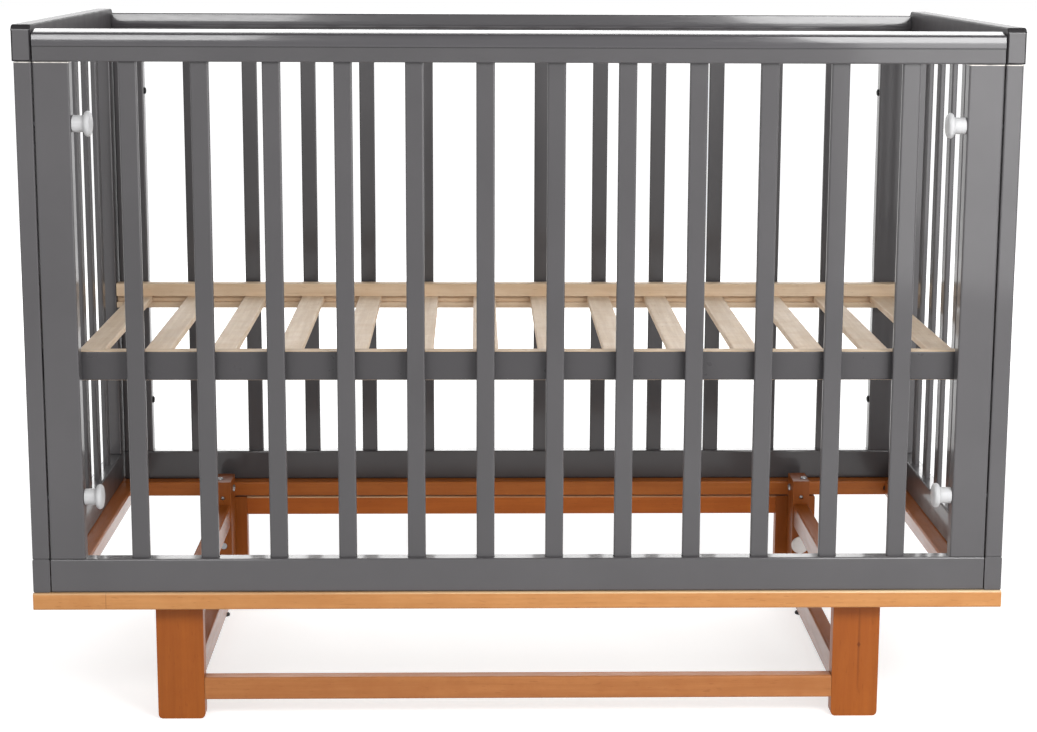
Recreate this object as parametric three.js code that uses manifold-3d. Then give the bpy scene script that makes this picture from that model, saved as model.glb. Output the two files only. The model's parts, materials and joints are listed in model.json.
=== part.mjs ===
// A slatted crib that swings lengthwise on a low beech stand.
// Millimetres, +Z up, +X to the right seen from the front, +Y to the back.
// The origin is on the floor, under the middle of the crib.

import * as THREE from "three";
import { mergeVertices } from "three/addons/utils/BufferGeometryUtils.js";
import Module from "manifold-3d";

const wasm = await Module();
wasm.setup();

// Driving dimensions
const innerLength = 1206; // between the two end panels
const innerDepth = 605; // between the front and back frames
const openingHeight = 633; // clear height between the rails of every slatted frame
const standHeight = 156; // floor to the underside of the base frame
const mattressHeight = 451.5; // floor to the underside of the mattress rails

// Gaps
const fit = 0.3; // between two fixed pieces that touch
const running = 0.3; // round a pin that turns or slides
const overrun = 2; // how far a cutter reaches past what it cuts
const weld = 0.001; // vertices nearer than this are one

// Painted frames
const boardThickness = 22;
const bottomRailHeight = 44;
const topRailHeight = 40;
const stileWidth = 44.5; // front and back frames
const postWidth = 44; // end panels
const paintedEdge = 2; // radius of a painted board's long edges
const frameSideGap = 1.5; // between the front or back frame and each end panel
const capProud = 2; // the end panels' top rails stand out by this
const capRise = 5; // and above the guards by this
const capEdge = 2.5; // radius of their long top edges
const capNose = 7; // radius of the top edge at each end

// Slats of the frames
const slatWidth = 23;
const slatThickness = 8;
const slatEdge = 2;
const tenon = 12; // let into each rail
const longSlatCount = 12;
const longSlatSpreadShare = 0.874; // first to last slat centre, of the width between the stiles
const endSlatCount = 6;

// Moulded guard over the long top rails
const guardWall = 1.5;
const guardHeight = 21;
const guardFall = 5; // of its top, from the inner side to the outer one
const guardEdge = 3;

// Pull pins that hold the front frame
const pinRadius = 4;
const pinReach = 12; // into the end post
const upperPinDrop = 77; // below the top rail
const lowerPinHeight = 80; // above the bottom rail
const stemRadius = 10.5;
const stemLength = 15;
const knobRadius = 16;
const knobLength = 10;
const knobRim = 3.8; // radius of the knob's outer edge
const knobDome = 2; // rise of its face

// Mattress base
const mattressRailHeight = 37.5;
const mattressRailSetback = 1.5; // behind the front frame, and before the back one
const grooveRise = 8.5; // above the underside of the rail
const grooveDepth = 10;
const baseSlatWidth = 34;
const baseSlatThickness = 9;
const baseSlatEdge = 2;
const baseSlatCount = 14;
const baseSlatSpreadShare = 0.9386; // first to last slat centre, of the rail's length

// Beech base frame
const baseRailThickness = 22;
const baseRailWidth = 44;
const baseRailProud = 5; // the long rails stand out in front and behind
const beechEdge = 2.5;

// Stand
const legWidth = 61;
const legThickness = 22;
const legCorner = 6; // radius of a leg's two bottom corners
const legHeadroom = 1.6; // between a leg's top and the base frame
const legInset = 183; // from the crib's end to the middle of a leg
const lowBarThickness = 22;
const lowBarHeight = 38;
const lowBarLift = 4; // above the floor
const stretcherHeight = 30;
const stretcherLift = 25.5;
const beamHeight = 28;

// Hangers
const armThickness = 25;
const armDepth = 60; // front to back, at its shoulder
const armTop = 36; // above the underside of the base frame
const armBottom = 65; // above the floor
const armCorner = 6;
const linkRoom = 5; // between a leg and its arm
const sideBarThickness = 22;
const sideBarHeight = 35;
const boltHoleRadius = 3.25;

// Swing links
const linkLength = 48; // pivot to pivot
const linkWidth = 20;
const linkThickness = 3;
const linkHeadroom = 14.4; // upper pivot below the leg's top
const pivotRadius = 5;
const legPivotReach = 15; // of the upper pivot pin into the leg

// Smoothness
const edgeSteps = 2; // round a board's small edges
const cornerSteps = 4; // round the large corners of caps, legs and arms
const roundSteps = 24;
const domeSteps = 4;

// Levels above the floor
const bodyBottom = standHeight + baseRailThickness + fit;
const openingBottom = bodyBottom + bottomRailHeight;
const openingTop = openingBottom + openingHeight;
const guardTop = openingTop + topRailHeight;
const legTop = standHeight - legHeadroom;
const upperPivot = legTop - linkHeadroom;
const lowerPivot = upperPivot - linkLength;

// Plan sizes
const frameLength = innerLength - 2 * frameSideGap;
const bodyDepth = innerDepth + 2 * boardThickness;
const bodyLength = innerLength + 2 * boardThickness;
const legSpread = bodyLength - 2 * legInset; // between the middles of the left and right legs
const legInnerFace = bodyDepth / 2 - baseRailWidth; // of each leg, from the middle plane
const armOuterFace = legInnerFace - linkRoom;
const armShoulder = legInnerFace - fit;
const armInnerFace = armShoulder - armDepth;

const painted = new THREE.MeshStandardMaterial({ color: 0x6c6d6f, roughness: 0.45, metalness: 0 });
const moulded = new THREE.MeshStandardMaterial({ color: 0x6a6b6e, roughness: 0.15, metalness: 0 });
const paleWood = new THREE.MeshStandardMaterial({ color: 0xd8b48c, roughness: 0.6, metalness: 0 });
const beech = new THREE.MeshStandardMaterial({ color: 0xc07a42, roughness: 0.5, metalness: 0 });
const steel = new THREE.MeshStandardMaterial({ color: 0x8f9296, roughness: 0.35, metalness: 1 });
const whitePlastic = new THREE.MeshStandardMaterial({ color: 0xeeeeec, roughness: 0.3, metalness: 0 });

const crib = new THREE.Group();

// A three.js geometry as a manifold solid.
function solidOf(geometry) {
  const bare = geometry.clone();
  bare.deleteAttribute("normal");
  bare.deleteAttribute("uv");
  const merged = mergeVertices(bare, weld);
  return new wasm.Manifold(
    new wasm.Mesh({
      numProp: 3,
      vertProperties: merged.attributes.position.array,
      triVerts: new Uint32Array(merged.index.array),
    }),
  );
}

// A manifold solid as a three.js geometry.
function geometryOf(solid) {
  const mesh = solid.getMesh();
  const geometry = new THREE.BufferGeometry();
  geometry.setAttribute("position", new THREE.BufferAttribute(mesh.vertProperties, mesh.numProp));
  geometry.setIndex(new THREE.BufferAttribute(mesh.triVerts, 1));
  geometry.computeVertexNormals();
  return geometry;
}

// The body less each of the cutters, then joined with each of the additions.
function shaped(body, cutters = [], additions = []) {
  let solid = solidOf(body);
  for (const cutter of cutters) solid = solid.subtract(solidOf(cutter));
  for (const addition of additions) solid = solid.add(solidOf(addition));
  return geometryOf(solid);
}

function piece(parent, name, geometry, material, x = 0, y = 0, z = 0) {
  const mesh = new THREE.Mesh(geometry, material);
  mesh.name = name;
  mesh.position.set(x, y, z);
  parent.add(mesh);
  return mesh;
}

// A rectangle round the origin with its own radius at the top and the bottom corners.
function section(width, height, topRadius, bottomRadius = topRadius) {
  const [right, top] = [width / 2, height / 2];
  const shape = new THREE.Shape();
  shape.moveTo(-right + bottomRadius, -top);
  shape.absarc(right - bottomRadius, -top + bottomRadius, bottomRadius, -Math.PI / 2, 0, false);
  shape.absarc(right - topRadius, top - topRadius, topRadius, 0, Math.PI / 2, false);
  shape.absarc(-right + topRadius, top - topRadius, topRadius, Math.PI / 2, Math.PI, false);
  shape.absarc(-right + bottomRadius, -top + bottomRadius, bottomRadius, Math.PI, Math.PI * 1.5, false);
  return shape;
}

// A shape pushed out along one axis, centred on the origin. Its first and second
// coordinates lie along the two axes that follow: Y Z for x, X Z for y and X Y for z.
// An arc gets twice curveSegments.
function extruded(shape, length, axis, steps = cornerSteps) {
  const solid = new THREE.ExtrudeGeometry(shape, {
    depth: length,
    bevelEnabled: false,
    curveSegments: steps / 2,
  });
  solid.translate(0, 0, -length / 2);
  if (axis === "x") {
    solid.rotateY(Math.PI / 2);
    solid.rotateX(Math.PI / 2);
  }
  if (axis === "y") solid.rotateX(Math.PI / 2);
  return solid;
}

// A board along one axis with rounded long edges.
function board(axis, length, width, height, radius) {
  return extruded(section(width, height, radius), length, axis, edgeSteps);
}

function block(width, depth, height, x = 0, y = 0, z = 0) {
  return new THREE.BoxGeometry(width, depth, height).translate(x, y, z);
}

function rod(axis, radius, length, x = 0, y = 0, z = 0) {
  const solid = new THREE.CylinderGeometry(radius, radius, length, roundSteps);
  if (axis === "x") solid.rotateZ(Math.PI / 2);
  return solid.translate(x, y, z);
}

// Places of a row of copies that spreads evenly about the middle.
function row(count, pitch) {
  return Array.from({ length: count }, (_, i) => (i - (count - 1) / 2) * pitch);
}

// Slatted frames. Each is built with its rails along X and is turned into place by its group.
const mortiseWidth = slatWidth + 2 * fit;
const mortiseThickness = slatThickness + 2 * fit;
const mortiseDepth = tenon + fit;
const slatLength = openingHeight + 2 * tenon;
const postHeight = openingHeight - 2 * fit;
const openingMiddle = (openingBottom + openingTop) / 2;

// Blind mortises in the top (up = 1) or underside (up = -1) of a rail of that height.
function mortises(places, railHeight, up) {
  const depth = mortiseDepth + overrun;
  const middle = up * (railHeight / 2 + overrun - depth / 2);
  return places.map((x) => block(mortiseWidth, mortiseThickness, depth, x, 0, middle));
}

function slat() {
  return board("z", slatLength, slatWidth, slatThickness, slatEdge);
}

// A bottom rail with its slats glued in.
function slattedRail(length, places) {
  const rise = openingMiddle - (openingBottom - bottomRailHeight / 2);
  const rail = board("x", length, boardThickness, bottomRailHeight, paintedEdge);
  const slats = places.map((x) => slat().translate(x, 0, rise));
  return shaped(rail, [], slats);
}

// Front and back frames
const betweenStiles = frameLength - 2 * stileWidth;
const longSlatPitch = (betweenStiles * longSlatSpreadShare) / (longSlatCount - 1);
const longSlatPlaces = row(longSlatCount, longSlatPitch);
const guardWidth = boardThickness + 2 * (guardWall + fit);
const bottomRailMiddle = bodyBottom + bottomRailHeight / 2;
const pinHeights = { upper: openingTop - upperPinDrop, lower: openingBottom + lowerPinHeight };
const sides = { left: -1, right: 1 };

// The section of a guard, of its hollow or of the rail inside it, with the outer side at +X and
// the guard's highest edge at height 0. The top slopes down to the outer side.
function slopedSection(width, lowered, bottom, topRadius, bottomRadius) {
  const right = width / 2;
  const slope = (x) => -lowered - guardFall * (x / guardWidth + 1 / 2);
  const shape = new THREE.Shape();
  shape.moveTo(-right + bottomRadius, bottom);
  shape.absarc(right - bottomRadius, bottom + bottomRadius, bottomRadius, -Math.PI / 2, 0, false);
  shape.lineTo(right, slope(right) - topRadius);
  shape.quadraticCurveTo(right, slope(right), right - topRadius, slope(right - topRadius));
  shape.lineTo(-right + topRadius, slope(-right + topRadius));
  shape.quadraticCurveTo(-right, slope(-right), -right, slope(-right) - topRadius);
  shape.absarc(-right + bottomRadius, bottom + bottomRadius, bottomRadius, Math.PI, Math.PI * 1.5, false);
  return shape;
}

// The moulded guard: a channel that clips down over the top rail.
function guard(facing) {
  const outline = slopedSection(guardWidth, 0, -guardHeight, guardEdge, guardWall / 3);
  const channel = extruded(outline, frameLength, "x", 2 * cornerSteps);
  const room = slopedSection(
    boardThickness + 2 * fit,
    guardWall,
    -guardHeight - overrun,
    paintedEdge + fit,
    0,
  );
  const made = shaped(channel, [extruded(room, frameLength + 2 * overrun, "x")]);
  return facing < 0 ? made.rotateZ(Math.PI) : made;
}

function longTopRail(facing) {
  const outline = slopedSection(boardThickness, guardWall + fit, -topRailHeight, paintedEdge, paintedEdge);
  const rail = extruded(outline, frameLength, "x").translate(0, 0, topRailHeight / 2);
  const made = shaped(rail, mortises(longSlatPlaces, topRailHeight, -1));
  return facing < 0 ? made.rotateZ(Math.PI) : made;
}

// A frame's top rail with its guard.
function addTopRail(frame, frameName, facing) {
  const middle = guardTop - topRailHeight / 2;
  piece(frame, `${frameName}_top_rail`, longTopRail(facing), painted, 0, 0, middle);
  piece(frame, `${frameName}_rail_guard`, guard(facing), moulded, 0, 0, guardTop);
}

function addStiles(frame, frameName, cutters) {
  for (const [sideName, side] of Object.entries(sides)) {
    const stile = board("z", postHeight, stileWidth, boardThickness, paintedEdge);
    const x = (side * (frameLength - stileWidth)) / 2;
    piece(frame, `${frameName}_${sideName}_stile`, shaped(stile, cutters), painted, x, 0, openingMiddle);
  }
}

const frontFrame = new THREE.Group();
frontFrame.position.y = -(innerDepth + boardThickness) / 2;
crib.add(frontFrame);

const frontBottomRail = board("x", frameLength, boardThickness, bottomRailHeight, paintedEdge);
piece(
  frontFrame,
  "front_bottom_rail",
  shaped(frontBottomRail, mortises(longSlatPlaces, bottomRailHeight, 1)),
  painted,
  0,
  0,
  bottomRailMiddle,
);
addTopRail(frontFrame, "front", -1);
addStiles(
  frontFrame,
  "front",
  Object.values(pinHeights).map((height) =>
    rod("x", pinRadius + running, stileWidth + 2 * overrun, 0, 0, height - openingMiddle),
  ),
);
longSlatPlaces.forEach((x, i) => {
  const number = String(i + 1).padStart(2, "0");
  piece(frontFrame, `front_slat_${number}`, slat(), painted, x, 0, openingMiddle);
});

const backFrame = new THREE.Group();
backFrame.position.y = (innerDepth + boardThickness) / 2;
crib.add(backFrame);

const backRailWithSlats = slattedRail(frameLength, longSlatPlaces);
piece(backFrame, "back_bottom_rail_with_slats", backRailWithSlats, painted, 0, 0, bottomRailMiddle);
addTopRail(backFrame, "back", 1);
addStiles(backFrame, "back", []);

// End panels, each turned so that its own -X end is the front of the crib
const betweenPosts = bodyDepth - 2 * postWidth;
const endSlatPlaces = row(endSlatCount, (betweenPosts + slatWidth) / (endSlatCount + 1));
const pinTip = innerLength / 2 + pinReach; // from the middle of the crib

// What a rounded top edge across the end of a rail takes away, from the corner at the origin.
// end is the direction that the rail ends in.
function noseCutter(radius, width, end) {
  const outline = new THREE.Shape();
  outline.moveTo(overrun, overrun);
  outline.lineTo(-radius, overrun);
  outline.lineTo(-radius, 0);
  outline.absarc(-radius, -radius, radius, Math.PI / 2, 0, true);
  outline.lineTo(overrun, -radius);
  const cutter = extruded(outline, width + 2 * overrun, "y");
  return end < 0 ? cutter.rotateZ(Math.PI) : cutter;
}

function addEndPanel(sideName, side) {
  const panel = new THREE.Group();
  panel.rotation.z = Math.PI / 2;
  panel.position.x = (side * (innerLength + boardThickness)) / 2;
  crib.add(panel);

  const outward = -side;
  const capWidth = boardThickness + capProud;
  const capHeight = topRailHeight + capRise;
  const cap = extruded(section(capWidth, capHeight, capEdge, paintedEdge), bodyDepth, "x");
  const capShift = (outward * capProud) / 2;
  const capCutters = mortises(endSlatPlaces, capHeight, -1).map((cutter) =>
    cutter.translate(0, -capShift, 0),
  );
  for (const end of Object.values(sides)) {
    capCutters.push(noseCutter(capNose, capWidth, end).translate((end * bodyDepth) / 2, 0, capHeight / 2));
  }
  const capMiddle = openingTop + capHeight / 2;
  piece(panel, `${sideName}_end_top_rail`, shaped(cap, capCutters), painted, 0, capShift, capMiddle);

  const ladder = slattedRail(bodyDepth, endSlatPlaces);
  piece(panel, `${sideName}_end_bottom_rail_with_slats`, ladder, painted, 0, 0, bottomRailMiddle);

  const post = board("z", postHeight, postWidth, boardThickness, paintedEdge);
  const postPlace = (bodyDepth - postWidth) / 2;
  piece(panel, `${sideName}_end_back_post`, post, painted, postPlace, 0, openingMiddle);

  const boreDepth = pinReach + running + overrun;
  const boreMiddle = -outward * (boardThickness / 2 + overrun - boreDepth / 2);
  const pinPlace = postWidth / 2 - boardThickness / 2;
  const bores = Object.values(pinHeights).map((height) =>
    rod("y", pinRadius + running, boreDepth, -pinPlace, boreMiddle, height - openingMiddle),
  );
  piece(panel, `${sideName}_end_front_post`, shaped(post, bores), painted, -postPlace, 0, openingMiddle);
}

for (const [sideName, side] of Object.entries(sides)) addEndPanel(sideName, side);

// Pull pins, turned from their tip along +Y of the profile to the dome of the knob
const stemStart = pinReach + frameSideGap + stileWidth + fit;
const knobStart = stemStart + stemLength;
const knobEnd = knobStart + knobLength;

function pullPin() {
  const profile = [
    [0, 0],
    [pinRadius, 0],
    [pinRadius, stemStart],
    [stemRadius, stemStart],
    [stemRadius, knobStart],
    [knobRadius - knobRim, knobStart],
  ];
  for (const [centre, from] of [
    [knobStart + knobRim, -Math.PI / 2],
    [knobEnd - knobDome - knobRim, 0],
  ]) {
    for (let i = 0; i <= cornerSteps; i++) {
      const angle = from + (i / cornerSteps) * (Math.PI / 2);
      profile.push([
        knobRadius - knobRim + knobRim * Math.cos(angle),
        centre + knobRim * Math.sin(angle),
      ]);
    }
  }
  const rim = knobRadius - knobRim;
  for (let i = 1; i <= domeSteps; i++) {
    const share = 1 - i / domeSteps;
    profile.push([rim * share, knobEnd - knobDome * share * share]);
  }
  const points = profile
    .filter(([r, y], i) => i === 0 || Math.hypot(r - profile[i - 1][0], y - profile[i - 1][1]) > weld)
    .map(([r, y]) => new THREE.Vector2(r, y));
  return geometryOf(solidOf(new THREE.LatheGeometry(points, roundSteps)));
}

for (const [sideName, side] of Object.entries(sides)) {
  for (const [levelName, height] of Object.entries(pinHeights)) {
    const pin = pullPin().rotateZ((side * Math.PI) / 2);
    piece(frontFrame, `${levelName}_${sideName}_pin`, pin, whitePlastic, side * pinTip, 0, height);
  }
}

// Mattress base: two grooved rails between the end panels, with slats across
const mattressRailLength = innerLength - 2 * fit;
const mattressRailPlace = innerDepth / 2 - mattressRailSetback - boardThickness / 2;
const mattressRailMiddle = mattressHeight + mattressRailHeight / 2;
const grooveHeight = baseSlatThickness + 2 * fit;
const grooveMiddle = grooveRise + grooveHeight / 2 - mattressRailHeight / 2;
const baseSlatPitch = (mattressRailLength * baseSlatSpreadShare) / (baseSlatCount - 1);
const baseSlatPlaces = row(baseSlatCount, baseSlatPitch);

// inward is the direction of the rail's grooved face along Y.
function groovedRail(inward) {
  const rail = board("x", mattressRailLength, boardThickness, mattressRailHeight, paintedEdge);
  const cutDepth = grooveDepth + overrun;
  const cutMiddle = inward * (boardThickness / 2 + overrun - cutDepth / 2);
  return shaped(rail, [
    block(mattressRailLength + 2 * overrun, cutDepth, grooveHeight, 0, cutMiddle, grooveMiddle),
  ]);
}

piece(
  crib,
  "mattress_front_rail",
  groovedRail(1),
  paleWood,
  0,
  -mattressRailPlace,
  mattressRailMiddle,
);

const railToRail = 2 * mattressRailPlace - boardThickness;
const baseSlatFront = -(railToRail / 2 + grooveDepth - fit);
const baseSlatBack = railToRail / 2 + grooveDepth + overrun; // glued into the back rail
const baseSlatLength = baseSlatBack - baseSlatFront;
const baseSlats = baseSlatPlaces.map((x) =>
  board("y", baseSlatLength, baseSlatWidth, baseSlatThickness, baseSlatEdge).translate(
    x,
    (baseSlatFront + baseSlatBack) / 2 - mattressRailPlace,
    grooveMiddle,
  ),
);
piece(
  crib,
  "mattress_back_rail_with_slats",
  shaped(groovedRail(-1), [], baseSlats),
  paleWood,
  0,
  mattressRailPlace,
  mattressRailMiddle,
);

// Beech base frame under the four panels
const longRailWidth = baseRailWidth + baseRailProud;
const baseRailMiddle = standHeight + baseRailThickness / 2;
const longRailPlace = bodyDepth / 2 + baseRailProud - longRailWidth / 2;
const sideRailLength = bodyDepth - 2 * baseRailWidth - 2 * fit;
const facings = { front: -1, back: 1 };

const boltHoleDepth = longRailWidth / 2;
for (const [facingName, facing] of Object.entries(facings)) {
  const rail = board("x", bodyLength, longRailWidth, baseRailThickness, beechEdge);
  const holes = Object.values(sides).map((side) =>
    rod(
      "y",
      boltHoleRadius,
      boltHoleDepth + overrun,
      (side * legSpread) / 2,
      (-facing * (longRailWidth - boltHoleDepth + overrun)) / 2,
    ),
  );
  const place = facing * longRailPlace;
  piece(crib, `base_${facingName}_rail`, shaped(rail, holes), beech, 0, place, baseRailMiddle);
}
for (const [sideName, side] of Object.entries(sides)) {
  const rail = board("y", sideRailLength, baseRailWidth, baseRailThickness, beechEdge);
  const place = (side * (bodyLength - baseRailWidth)) / 2;
  piece(crib, `base_${sideName}_rail`, rail, beech, place, 0, baseRailMiddle);
}

// Stand: four legs, a bar low on each side, a low stretcher in front and a beam behind
const legMiddle = legInnerFace + legThickness / 2;
const betweenLegs = legSpread - legWidth;

function leg(facing) {
  const outline = section(legWidth, legTop, paintedEdge, legCorner);
  const solid = extruded(outline, legThickness, "y");
  const boreDepth = legPivotReach + running + overrun;
  const boreMiddle = -facing * (legThickness / 2 + overrun - boreDepth / 2);
  const bore = rod("y", pivotRadius + running, boreDepth, 0, boreMiddle, upperPivot - legTop / 2);
  return shaped(solid, [bore]);
}

for (const [facingName, facing] of Object.entries(facings)) {
  for (const [sideName, side] of Object.entries(sides)) {
    const x = (side * legSpread) / 2;
    piece(crib, `${facingName}_${sideName}_leg`, leg(facing), beech, x, facing * legMiddle, legTop / 2);
  }
}

const lowBarLength = 2 * (legInnerFace - fit);
for (const [sideName, side] of Object.entries(sides)) {
  const bar = board("y", lowBarLength, lowBarThickness, lowBarHeight, beechEdge);
  const x = (side * legSpread) / 2;
  piece(crib, `${sideName}_low_bar`, bar, beech, x, 0, lowBarLift + lowBarHeight / 2);
}

const crossLength = betweenLegs - 2 * fit;
piece(
  crib,
  "front_stretcher",
  board("x", crossLength, legThickness, stretcherHeight, beechEdge),
  beech,
  0,
  -legMiddle,
  stretcherLift + stretcherHeight / 2,
);
piece(
  crib,
  "back_beam",
  board("x", crossLength, legThickness, beamHeight, beechEdge),
  beech,
  0,
  legMiddle,
  legTop - beamHeight / 2,
);

// Hanger arms, bolted to the long base rails and hung from the legs by steel links.
// The side outline is drawn with its first axis pointing from the crib's middle outwards.
function arm(facing) {
  const top = standHeight + armTop;
  const outline = new THREE.Shape();
  outline.moveTo(armInnerFace + armCorner, armBottom);
  outline.lineTo(armOuterFace - armCorner, armBottom);
  outline.absarc(armOuterFace - armCorner, armBottom + armCorner, armCorner, -Math.PI / 2, 0, false);
  outline.lineTo(armOuterFace, standHeight);
  outline.lineTo(armShoulder, standHeight);
  outline.lineTo(armShoulder, top - beechEdge);
  outline.absarc(armShoulder - beechEdge, top - beechEdge, beechEdge, 0, Math.PI / 2, false);
  outline.absarc(armInnerFace + beechEdge, top - beechEdge, beechEdge, Math.PI / 2, Math.PI, false);
  outline.absarc(armInnerFace + armCorner, armBottom + armCorner, armCorner, Math.PI, Math.PI * 1.5, false);
  const solid = extruded(outline, armThickness, "x");
  const holeMiddle = (armInnerFace + armShoulder) / 2;
  const holeLength = armDepth + 2 * overrun;
  const holes = [
    rod("y", pivotRadius + running, holeLength, 0, holeMiddle, lowerPivot),
    rod("y", boltHoleRadius, holeLength, 0, holeMiddle, baseRailMiddle),
  ];
  const made = shaped(solid, holes);
  return facing < 0 ? made.rotateZ(Math.PI) : made;
}

// A flat steel link with its two riveted pivot pins, the upper one into the leg and the lower
// one through the arm. It is drawn behind the crib's middle plane.
function link(facing) {
  const outline = new THREE.Shape();
  const end = linkWidth / 2;
  outline.absarc(0, upperPivot, end, 0, Math.PI, false);
  outline.absarc(0, lowerPivot, end, Math.PI, 2 * Math.PI, false);
  const plate = new THREE.ExtrudeGeometry(outline, {
    depth: linkThickness,
    bevelEnabled: false,
    curveSegments: roundSteps / 2,
  });
  const middle = (legInnerFace + armOuterFace) / 2;
  plate.translate(0, 0, -linkThickness / 2).rotateX(Math.PI / 2).translate(0, middle, 0);
  const upperReach = legInnerFace + legPivotReach - middle;
  const lowerReach = middle - armInnerFace;
  const pins = [
    rod("y", pivotRadius, upperReach, 0, middle + upperReach / 2, upperPivot),
    rod("y", pivotRadius, lowerReach, 0, middle - lowerReach / 2, lowerPivot),
  ];
  const made = shaped(plate, [], pins);
  return facing < 0 ? made.rotateZ(Math.PI) : made;
}

for (const [facingName, facing] of Object.entries(facings)) {
  for (const [sideName, side] of Object.entries(sides)) {
    const x = (side * legSpread) / 2;
    piece(crib, `${facingName}_${sideName}_arm`, arm(facing), beech, x);
    piece(crib, `${facingName}_${sideName}_link`, link(facing), steel, x);
  }
}

const sideBarLength = 2 * (armInnerFace - fit);
for (const [sideName, side] of Object.entries(sides)) {
  const bar = board("y", sideBarLength, sideBarThickness, sideBarHeight, beechEdge);
  const x = (side * legSpread) / 2;
  piece(crib, `${sideName}_hanger_bar`, bar, beech, x, 0, standHeight - sideBarHeight / 2);
}

export default crib;
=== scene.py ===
import json
import math

import bmesh
import bpy
from mathutils import Matrix, Vector


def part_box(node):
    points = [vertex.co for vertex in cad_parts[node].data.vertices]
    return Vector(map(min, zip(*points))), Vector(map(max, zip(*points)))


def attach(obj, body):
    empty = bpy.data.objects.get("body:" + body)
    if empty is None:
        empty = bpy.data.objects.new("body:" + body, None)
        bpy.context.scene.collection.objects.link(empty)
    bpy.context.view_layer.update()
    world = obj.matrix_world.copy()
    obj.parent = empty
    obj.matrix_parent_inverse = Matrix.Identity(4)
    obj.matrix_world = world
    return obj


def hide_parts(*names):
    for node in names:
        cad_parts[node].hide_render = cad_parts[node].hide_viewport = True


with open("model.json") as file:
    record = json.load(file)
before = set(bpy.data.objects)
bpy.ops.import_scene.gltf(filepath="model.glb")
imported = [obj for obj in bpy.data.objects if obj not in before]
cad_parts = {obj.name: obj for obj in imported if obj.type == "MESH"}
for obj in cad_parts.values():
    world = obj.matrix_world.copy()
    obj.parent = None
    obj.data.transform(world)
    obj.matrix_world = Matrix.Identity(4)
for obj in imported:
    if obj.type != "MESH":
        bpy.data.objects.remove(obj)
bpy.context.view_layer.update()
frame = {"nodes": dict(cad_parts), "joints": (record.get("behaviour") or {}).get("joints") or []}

# Metres and radians, in the crib's own frame: +Z up, +X right, +Y to the back.

# Camera, at the photograph's angle
CAMERA_PLACE = Vector((-0.0573, -3.1576, 1.0060))
CAMERA_YAW = -0.02689
CAMERA_PITCH = -0.19163
CAMERA_ROLL = 0.00458
CAMERA_LENS = 78.97  # mm
CAMERA_SENSOR = 36  # mm wide
CAMERA_SHIFT = Vector((-0.01628, 0.01361))  # sensor widths
CAMERA_REACH = 200

# Places that the photograph gives. What repeats on the left or in front is mirrored.
ARM_SIDE_BOLT_Y = 0.257
ARM_SIDE_BOLT_Z = 0.1745
ARM_TOP_BOLT_X = 0.4480
ARM_TOP_BOLT_Y = 0.240
BASE_BOLT_X = 0.584
GLIDE_X = 0.4355
GLIDE_Y = 0.160
FINGER_JOINT_X = -0.532
KNOT_PLACE = (0.446, -0.3025, 0.098)

# Places that the frame gives
LOWER_PIVOT_Z = next(joint["pos_m"][2] for joint in frame["joints"] if joint["name"] == "crib_level")
BASE_MIDDLE_Z = (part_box("base_back_rail")[0].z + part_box("base_back_rail")[1].z) / 2

# Hardware
BOLT_HEAD_RADIUS = 0.0052
BOLT_HEAD_HEIGHT = 0.0028
BOLT_DOME_SHARE = 0.8  # of the head's height
SOCKET_RADIUS = 0.0022
SOCKET_DEPTH = 0.0016
HOLE_SCREW_RADIUS = 0.0029
HOLE_SCREW_HEIGHT = 0.0012
HOLE_SCREW_RECESS = 0.0035
CAP_RADIUS = 0.0133
CAP_HEIGHT = 0.004
CAP_CLEARANCE = 0.0003
GLIDE_RADIUS = 0.0075

# Smoothness of rounded edges and turned pieces
FINE_BEVEL = 4
ROUND_STEPS = 48

SIDES = {"left": -1, "right": 1}
FACINGS = {"front": -1, "back": 1}
PIN_LEVELS = ("upper", "lower")


def srgb(code):
    """A colour written as in a paint chart, as linear light."""
    shares = [(code >> shift & 255) / 255 for shift in (16, 8, 0)]
    return [s / 12.92 if s <= 0.04045 else ((s + 0.055) / 1.055) ** 2.4 for s in shares] + [1]


def toned(colour, red, green=None, blue=None):
    """The colour with each channel scaled."""
    green = red if green is None else green
    blue = red if blue is None else blue
    return [colour[0] * red, colour[1] * green, colour[2] * blue, 1]


# Colours
GREY_PAINT = srgb(0x4D4B4D)
GREY_PVC = srgb(0x424043)
PALE_BIRCH = srgb(0xF2DBC0)
WHITE_NYLON = srgb(0xC6C6C7)
WHITE_CAP = srgb(0xEFEDEB)
BLACK_OXIDE = srgb(0x1B1B1D)
# Cream of the painted highlight along the upper ends of stiles and posts
CREAM_HIGHLIGHT = srgb(0xD2CDC6)
# Pale varnish of the painted highlight along the top edges of beech boards
VARNISH_HIGHLIGHT = srgb(0xF3DDB4)
ZINC = srgb(0xA9ABAE)
FRAME_BEECH = srgb(0xB0652A)
HANGER_BEECH = srgb(0x985420)

# Gloss of the paint on a plain face
PAINT_SPECULAR = 0.3
PAINT_COAT = 0.5


# Shader nodes


def node(tree, kind, *inputs, settings=None, **named):
    """A shader node. Each input is a value, or an output to link from."""
    made = tree.nodes.new("ShaderNode" + kind)
    for name, value in (settings or {}).items():
        setattr(made, name, value)
    sockets = [(made.inputs[i], value) for i, value in enumerate(inputs)]
    sockets += [(made.inputs[name.replace("_", " ")], value) for name, value in named.items()]
    for socket, value in sockets:
        if value is not None:
            connect(tree, socket, value)
    return made


def connect(tree, socket, value):
    """Links an output to a socket, or sets the socket to a value."""
    if isinstance(value, bpy.types.NodeSocket):
        tree.links.new(value, socket)
    else:
        socket.default_value = value


def material(name):
    """A new material, its node tree and its shader."""
    made = bpy.data.materials.new(name)
    made.use_nodes = True
    return made, made.node_tree, made.node_tree.nodes["Principled BSDF"]


def fill(tree, shader, **sockets):
    """Sets or links the shader's sockets."""
    for name, value in sockets.items():
        connect(tree, shader.inputs[name.replace("_", " ")], value)


def math_node(tree, operation, *values):
    return node(tree, "Math", *values, settings={"operation": operation}).outputs[0]


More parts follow.
